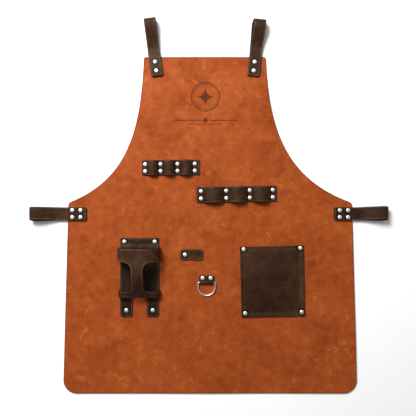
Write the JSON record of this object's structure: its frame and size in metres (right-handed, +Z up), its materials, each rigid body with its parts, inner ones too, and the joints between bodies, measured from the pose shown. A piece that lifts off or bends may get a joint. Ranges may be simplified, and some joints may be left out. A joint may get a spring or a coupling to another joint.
{
  "type": "leather work apron",
  "caption": "Leather work apron lying flat, with a bib, riveted neck and waist strap loops, tool loop strips, a bottle holder, a pocket, a swivel tab and a D-ring.",
  "frame": {"origin": "middle of the bottom of the bounding box, on the surface that the apron lies on", "axes": "+X to the wearer's left as the face-up apron is seen from above with its bib away from the viewer, so to the right of that view; +Y from the hem to the bib; +Z up, out of the apron's front"},
  "size_m": [0.7304, 0.7688, 0.0501],
  "materials": {
    "apron_leather": "cognac brown pull-up leather, mottled, satin",
    "strap_leather": "dark brown waxed leather with creased edges",
    "pocket_leather": "dark brown smooth leather, satin",
    "nickel": "polished nickel plate"
  },
  "bodies": {
    "apron": {"neck_loop_left_base": "strap_leather", "neck_loop_left_rivet_1": "nickel", "neck_loop_left_rivet_2": "nickel", "neck_loop_right_base": "strap_leather", "neck_loop_right_rivet_1": "nickel", "neck_loop_right_rivet_2": "nickel", "waist_loop_left_base": "strap_leather", "waist_loop_left_rivet_1": "nickel", "waist_loop_left_rivet_2": "nickel", "waist_loop_left_rivet_3": "nickel", "waist_loop_left_rivet_4": "nickel", "waist_loop_right_base": "strap_leather", "waist_loop_right_rivet_1": "nickel", "waist_loop_right_rivet_2": "nickel", "waist_loop_right_rivet_3": "nickel", "waist_loop_right_rivet_4": "nickel", "tool_strip_upper": "strap_leather", "tool_strip_upper_rivet_1": "nickel", "tool_strip_upper_rivet_2": "nickel", "tool_strip_upper_rivet_3": "nickel", "tool_strip_upper_rivet_4": "nickel", "tool_strip_upper_rivet_5": "nickel", "tool_strip_upper_rivet_6": "nickel", "tool_strip_upper_rivet_7": "nickel", "tool_strip_upper_rivet_8": "nickel", "tool_strip_lower": "strap_leather", "tool_strip_lower_rivet_1": "nickel", "tool_strip_lower_rivet_2": "nickel", "tool_strip_lower_rivet_3": "nickel", "tool_strip_lower_rivet_4": "nickel", "tool_strip_lower_rivet_5": "nickel", "tool_strip_lower_rivet_6": "nickel", "tool_strip_lower_rivet_7": "nickel", "tool_strip_lower_rivet_8": "nickel", "pocket_front": "pocket_leather", "pocket_rivet_1": "nickel", "pocket_rivet_2": "nickel", "pocket_rivet_3": "nickel", "pocket_rivet_4": "nickel", "holder_back": "strap_leather", "holder_cradle": "strap_leather", "holder_rivet_1": "nickel", "holder_rivet_2": "nickel", "holder_rivet_3": "nickel", "holder_rivet_4": "nickel", "keeper_tab_rivet": "nickel", "d_ring_tab": "strap_leather", "d_ring_tab_rivet_1": "nickel", "d_ring_tab_rivet_2": "nickel", "apron_panel": "apron_leather"},
    "neck_loop_left_body": {"neck_loop_left": "strap_leather"},
    "neck_loop_right_body": {"neck_loop_right": "strap_leather"},
    "waist_loop_left_body": {"waist_loop_left": "strap_leather"},
    "waist_loop_right_body": {"waist_loop_right": "strap_leather"},
    "d_ring_body": {"d_ring": "nickel"},
    "keeper_tab_body": {"keeper_tab": "strap_leather"}
  },
  "joints": [
    {"name": "neck_loop_left_flex", "type": "hinge", "parent": "apron", "child": "neck_loop_left_body", "pos_m": [-0.11225, 0.31252, 0.0049], "axis": [0.9898, 0.1426, 0], "range_deg": [-95, 95]},
    {"name": "neck_loop_right_flex", "type": "hinge", "parent": "apron", "child": "neck_loop_right_body", "pos_m": [0.09547, 0.31256, 0.0049], "axis": [0.9947, -0.1028, 0], "range_deg": [-95, 95]},
    {"name": "waist_loop_left_flex", "type": "hinge", "parent": "apron", "child": "waist_loop_left_body", "pos_m": [-0.29585, -0.0159, 0.0049], "axis": [0, 1, 0], "range_deg": [-95, 95]},
    {"name": "waist_loop_right_flex", "type": "hinge", "parent": "apron", "child": "waist_loop_right_body", "pos_m": [0.30135, -0.0159, 0.0049], "axis": [0, -1, 0], "range_deg": [-95, 95]},
    {"name": "d_ring_swing", "type": "hinge", "parent": "apron", "child": "d_ring_body", "pos_m": [-0.00455, -0.15601, 0.0062], "axis": [-1, 0, 0], "range_deg": [0, 165]},
    {"name": "keeper_tab_swivel", "type": "hinge", "parent": "apron", "child": "keeper_tab_body", "pos_m": [-0.04885, -0.0996, 0.0037], "axis": [0, 0, 1], "range_deg": [-90, 90]}
  ]
}
